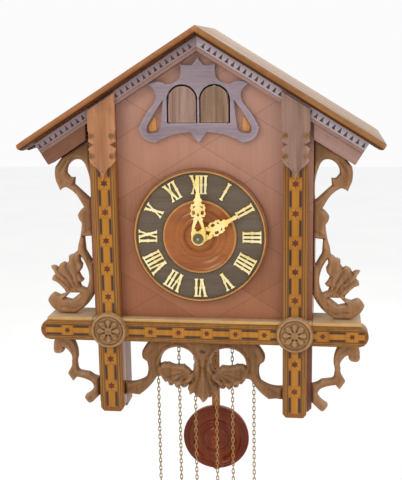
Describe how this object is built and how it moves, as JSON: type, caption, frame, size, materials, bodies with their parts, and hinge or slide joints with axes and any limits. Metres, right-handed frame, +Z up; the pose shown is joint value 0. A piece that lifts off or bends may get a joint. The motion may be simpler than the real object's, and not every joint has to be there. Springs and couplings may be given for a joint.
{
  "type": "wall cuckoo clock",
  "caption": "Carved gabled wall clock with two bird doors, turned dial, inlaid bands, openwork brackets, chain weights and a pendulum with turned bob.",
  "frame": {"origin": "middle of the hanging hole, on the plane of the wall", "axes": "+Z up, +X to the viewer's right, the dial faces -Y, the wall is the plane y = 0"},
  "size_m": [0.445, 0.196, 0.758],
  "materials": {
    "plain_wood": "planed softwood, waxed",
    "roof_wood": "light walnut board, worn wax",
    "panel_veneer": "reddish walnut veneer in lozenges, old polish",
    "fascia_wood": "greyed limewood",
    "carving_wood": "stained carved limewood",
    "marquetry": "inlaid veneers, polished",
    "rim_wood": "turned light walnut",
    "dial_black": "stained charcoal, satin",
    "turned_wood": "turned cherry, dark glossy polish",
    "door_wood": "old planks, dry",
    "bone": "fretted bone, yellowed",
    "brass": "aged brass",
    "steel": "drawn wire and plate",
    "gong_steel": "blued spring steel",
    "chain_brass": "aged brass wire",
    "cone_iron": "brown painted cast iron",
    "cuckoo_paint": "carved wood, painted grey",
    "quail_paint": "carved wood, painted brown"
  },
  "bodies": {
    "case": {"back_board": "plain_wood", "side_panels": "roof_wood", "case_floor": "plain_wood", "front_panel": "panel_veneer", "roof_left": "roof_wood", "roof_right": "roof_wood", "gable_trim": "fascia_wood", "corner_posts": "carving_wood", "beam": "marquetry", "shelf": "roof_wood", "pilasters": "marquetry", "post_caps": "carving_wood", "rosettes": "rim_wood", "side_bracket_left": "carving_wood", "side_bracket_right": "carving_wood", "lower_brackets": "carving_wood", "apron": "carving_wood", "door_surround": "fascia_wood", "bird_shelf": "plain_wood", "dial_rim": "rim_wood", "dial_plate": "dial_black", "numerals": "bone", "movement_frame": "brass", "bellows": "plain_wood"},
    "rear_door": {"rear_door": "plain_wood", "gong": "gong_steel"},
    "door_left": {"bird_door_left": "door_wood"},
    "door_right": {"bird_door_right": "door_wood"},
    "cuckoo": {"cuckoo": "cuckoo_paint"},
    "quail": {"quail": "quail_paint"},
    "minute": {"minute_hand": "bone", "cannon_pinion": "brass", "hand_nut": "brass"},
    "hour": {"hour_hand": "bone", "hour_pipe": "brass"},
    "minute_wheel": {"minute_wheel": "brass"},
    "great_wheel": {"great_wheel": "brass"},
    "centre_wheel": {"centre_wheel": "brass"},
    "third_wheel": {"third_wheel": "brass"},
    "escape_wheel": {"escape_wheel": "brass"},
    "verge": {"verge": "steel"},
    "pendulum": {"pendulum_rod": "carving_wood"},
    "bob": {"pendulum_bob": "turned_wood"},
    "cuckoo_great_wheel": {"cuckoo_great_wheel": "brass"},
    "cuckoo_pin_wheel": {"cuckoo_pin_wheel": "brass"},
    "quail_great_wheel": {"quail_great_wheel": "brass"},
    "quail_pin_wheel": {"quail_pin_wheel": "brass"},
    "weight_left": {"chain_weight_left": "chain_brass", "cone_weight_left": "cone_iron"},
    "weight_centre": {"chain_weight_centre": "chain_brass", "cone_weight_centre": "cone_iron"},
    "weight_right": {"chain_weight_right": "chain_brass", "cone_weight_right": "cone_iron"},
    "ring_left": {"chain_ring_left": "chain_brass"},
    "ring_centre": {"chain_ring_centre": "chain_brass"},
    "ring_right": {"chain_ring_right": "chain_brass"},
    "lid_high": {"bellows_lid_high": "plain_wood"},
    "lid_low": {"bellows_lid_low": "plain_wood"},
    "lid_quail": {"bellows_lid_quail": "plain_wood"},
    "gong_hammer": {"gong_hammer": "steel"}
  },
  "joints": [
    {"name": "minute_turn", "type": "hinge", "parent": "case", "child": "minute", "pos_m": [0, -0.187, -0.172], "axis": [0, 1, 0], "continuous": true},
    {"name": "hour_turn", "type": "hinge", "parent": "case", "child": "hour", "pos_m": [0, -0.183, -0.172], "axis": [0, 1, 0], "continuous": true},
    {"name": "minute_wheel_turn", "type": "hinge", "parent": "case", "child": "minute_wheel", "pos_m": [-0.01559, -0.151, -0.181], "axis": [0, 1, 0], "continuous": true},
    {"name": "escape_turn", "type": "hinge", "parent": "case", "child": "escape_wheel", "pos_m": [0, -0.1, -0.125], "axis": [0, 1, 0], "continuous": true},
    {"name": "third_turn", "type": "hinge", "parent": "case", "child": "third_wheel", "pos_m": [0.01081, -0.11, -0.14726], "axis": [0, 1, 0], "continuous": true},
    {"name": "centre_turn", "type": "hinge", "parent": "case", "child": "centre_wheel", "pos_m": [0, -0.12, -0.172], "axis": [0, 1, 0], "continuous": true},
    {"name": "great_turn", "type": "hinge", "parent": "case", "child": "great_wheel", "pos_m": [0, -0.13, -0.202], "axis": [0, 1, 0], "continuous": true},
    {"name": "cuckoo_pin_turn", "type": "hinge", "parent": "case", "child": "cuckoo_pin_wheel", "pos_m": [-0.049, -0.11, -0.178], "axis": [0, 1, 0], "continuous": true},
    {"name": "cuckoo_great_turn", "type": "hinge", "parent": "case", "child": "cuckoo_great_wheel", "pos_m": [-0.049, -0.13, -0.202], "axis": [0, 1, 0], "continuous": true},
    {"name": "quail_pin_turn", "type": "hinge", "parent": "case", "child": "quail_pin_wheel", "pos_m": [0.049, -0.11, -0.178], "axis": [0, 1, 0], "continuous": true},
    {"name": "quail_great_turn", "type": "hinge", "parent": "case", "child": "quail_great_wheel", "pos_m": [0.049, -0.13, -0.202], "axis": [0, 1, 0], "continuous": true},
    {"name": "pendulum_swing", "type": "hinge", "parent": "case", "child": "pendulum", "pos_m": [0, -0.0335, -0.102], "axis": [0, 1, 0], "range_deg": [-5, 5]},
    {"name": "verge_rock", "type": "hinge", "parent": "case", "child": "verge", "pos_m": [0, -0.06, -0.102], "axis": [0, 1, 0], "range_deg": [-5, 5]},
    {"name": "bob_slide", "type": "slide", "parent": "pendulum", "child": "bob", "axis": [0, 0, 1], "range_m": [-0.01, 0.01]},
    {"name": "cuckoo_slide", "type": "slide", "parent": "case", "child": "cuckoo", "axis": [0, -1, 0], "range_m": [0, 0.045]},
    {"name": "door_left_swing", "type": "hinge", "parent": "case", "child": "door_left", "pos_m": [-0.0354, -0.1712, -0.033], "axis": [0, 0, 1], "range_deg": [-88, 0]},
    {"name": "quail_slide", "type": "slide", "parent": "case", "child": "quail", "axis": [0, -1, 0], "range_m": [0, 0.045]},
    {"name": "door_right_swing", "type": "hinge", "parent": "case", "child": "door_right", "pos_m": [0.0354, -0.1712, -0.033], "axis": [0, 0, 1], "range_deg": [0, 88]},
    {"name": "weight_left_drop", "type": "slide", "parent": "case", "child": "weight_left", "axis": [0, 0, -1], "range_m": [0, 0.06]},
    {"name": "ring_left_rise", "type": "slide", "parent": "case", "child": "ring_left", "axis": [0, 0, 1], "range_m": [0, 0.06]},
    {"name": "weight_centre_drop", "type": "slide", "parent": "case", "child": "weight_centre", "axis": [0, 0, -1], "range_m": [0, 0.06]},
    {"name": "ring_centre_rise", "type": "slide", "parent": "case", "child": "ring_centre", "axis": [0, 0, 1], "range_m": [0, 0.06]},
    {"name": "weight_right_drop", "type": "slide", "parent": "case", "child": "weight_right", "axis": [0, 0, -1], "range_m": [0, 0.06]},
    {"name": "ring_right_rise", "type": "slide", "parent": "case", "child": "ring_right", "axis": [0, 0, 1], "range_m": [0, 0.06]},
    {"name": "lid_high_lift", "type": "hinge", "parent": "case", "child": "lid_high", "pos_m": [-0.109, -0.065, -0.12605], "axis": [-1, 0, 0], "range_deg": [0, 14]},
    {"name": "lid_low_lift", "type": "hinge", "parent": "case", "child": "lid_low", "pos_m": [0.109, -0.065, -0.12605], "axis": [-1, 0, 0], "range_deg": [0, 14]},
    {"name": "lid_quail_lift", "type": "hinge", "parent": "case", "child": "lid_quail", "pos_m": [-0.052, -0.034, -0.12605], "axis": [-1, 0, 0], "range_deg": [0, 14]},
    {"name": "gong_hammer_swing", "type": "hinge", "parent": "case", "child": "gong_hammer", "pos_m": [0.046, -0.02, -0.158], "axis": [0, 1, 0], "range_deg": [-12, 4]},
    {"name": "rear_door_swing", "type": "hinge", "parent": "case", "child": "rear_door", "pos_m": [-0.08, -0.005, -0.172], "axis": [0, 0, 1], "range_deg": [0, 100]}
  ],
  "couplings": [
    {"joint": "hour_turn", "follows": "minute_turn", "ratio": 0.083333},
    {"joint": "minute_wheel_turn", "follows": "minute_turn", "ratio": -0.33333},
    {"joint": "third_turn", "follows": "escape_turn", "ratio": -0.1},
    {"joint": "centre_turn", "follows": "escape_turn", "ratio": 0.0090909},
    {"joint": "great_turn", "follows": "escape_turn", "ratio": -0.0022727},
    {"joint": "cuckoo_great_turn", "follows": "cuckoo_pin_turn", "ratio": -0.14286},
    {"joint": "quail_great_turn", "follows": "quail_pin_turn", "ratio": -0.14286},
    {"joint": "verge_rock", "follows": "pendulum_swing", "ratio": 1},
    {"joint": "door_left_swing", "follows": "cuckoo_slide", "rad_per_m": -34},
    {"joint": "door_right_swing", "follows": "quail_slide", "rad_per_m": 34},
    {"joint": "ring_left_rise", "follows": "weight_left_drop", "ratio": 1},
    {"joint": "ring_centre_rise", "follows": "weight_centre_drop", "ratio": 1},
    {"joint": "ring_right_rise", "follows": "weight_right_drop", "ratio": 1}
  ]
}
